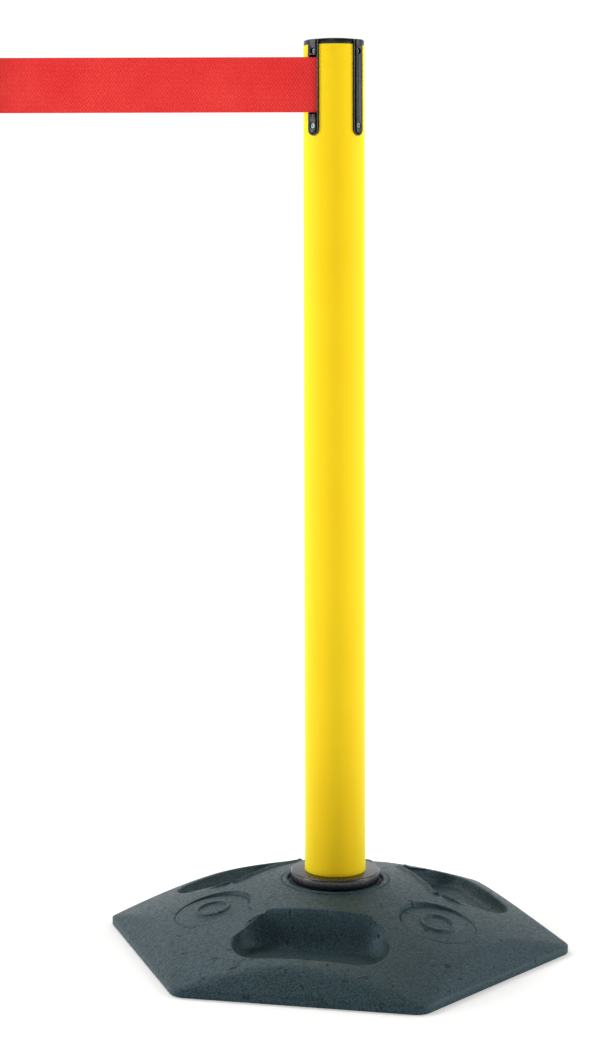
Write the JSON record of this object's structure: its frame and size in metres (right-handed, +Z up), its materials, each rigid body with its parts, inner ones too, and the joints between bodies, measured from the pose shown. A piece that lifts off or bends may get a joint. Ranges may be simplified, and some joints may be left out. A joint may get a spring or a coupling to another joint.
{
  "type": "retractable belt barrier post",
  "caption": "Free-standing queue barrier post: round tube on a hexagonal rubber base, head with upright clip channels and a retractable webbing belt with a hooked end clip.",
  "frame": {"origin": "centre of the base's underside, on the post's axis", "axes": "+Z up along the post; the belt leaves the head along -X, tangent to its spool on the -Y side"},
  "size_m": [0.6215, 0.4748, 0.965],
  "materials": {
    "base_rubber": "matt moulded recycled rubber with a fine grain",
    "tube_yellow": "extruded satin-gloss plastic",
    "head_black": "moulded satin plastic",
    "foot_grey": "moulded satin plastic",
    "zinc_steel": "zinc plated",
    "screw_steel": "dark plated",
    "cassette_nylon": "natural moulded nylon",
    "brake_liner": "friction lining",
    "bush_bronze": "sintered bronze",
    "spring_steel": "blued spring steel",
    "belt_red": "woven polyester webbing"
  },
  "bodies": {
    "stand": {"rubber_base": "base_rubber", "post_foot": "foot_grey", "anchor_bolt": "zinc_steel", "plate_washer": "zinc_steel", "spring_washer": "zinc_steel", "anchor_nut": "zinc_steel", "post_tube": "tube_yellow", "belt_outlet": "head_black", "receiver_front": "head_black", "receiver_right": "head_black", "receiver_back": "head_black", "top_cap": "head_black", "lower_screws": "screw_steel", "upper_screws": "screw_steel", "cassette_shell": "cassette_nylon", "cassette_base": "zinc_steel", "cassette_lid": "cassette_nylon", "arbor": "zinc_steel", "arbor_clip": "zinc_steel", "brake_drum": "brake_liner"},
    "spool": {"brake_rotor": "cassette_nylon", "shoe_spring": "spring_steel", "spool_core": "cassette_nylon", "spool_flange": "cassette_nylon", "lower_bush": "bush_bronze", "upper_bush": "bush_bronze", "spring_cup": "cassette_nylon", "belt_roll": "belt_red", "mainspring": "spring_steel"},
    "shoe_a": {"brake_shoe_a": "brake_liner"},
    "shoe_b": {"brake_shoe_b": "brake_liner"},
    "belt_end": {"belt": "belt_red", "clip_front": "head_black", "clip_back": "head_black", "clip_rivets": "screw_steel"}
  },
  "joints": [
    {"name": "belt_pull", "type": "slide", "parent": "stand", "child": "belt_end", "axis": [-1, 0, 0], "range_m": [-0.328, 1.95], "deforming": ["belt"]},
    {"name": "spool_spin", "type": "hinge", "parent": "stand", "child": "spool", "pos_m": [0, 0, 0.9], "axis": [0, 0, 1], "range_deg": [-5020, 856], "deforming": ["mainspring"]},
    {"name": "shoe_a_slide", "type": "slide", "parent": "spool", "child": "shoe_a", "axis": [1, 0, 0], "range_m": [0, 0.0008], "stiffness_N_per_m": 300, "deforming": ["shoe_spring"]},
    {"name": "shoe_b_slide", "type": "slide", "parent": "spool", "child": "shoe_b", "axis": [-1, 0, 0], "range_m": [0, 0.0008], "stiffness_N_per_m": 300}
  ],
  "couplings": [
    {"joint": "spool_spin", "follows": "belt_pull", "rad_per_m": -44.843}
  ]
}
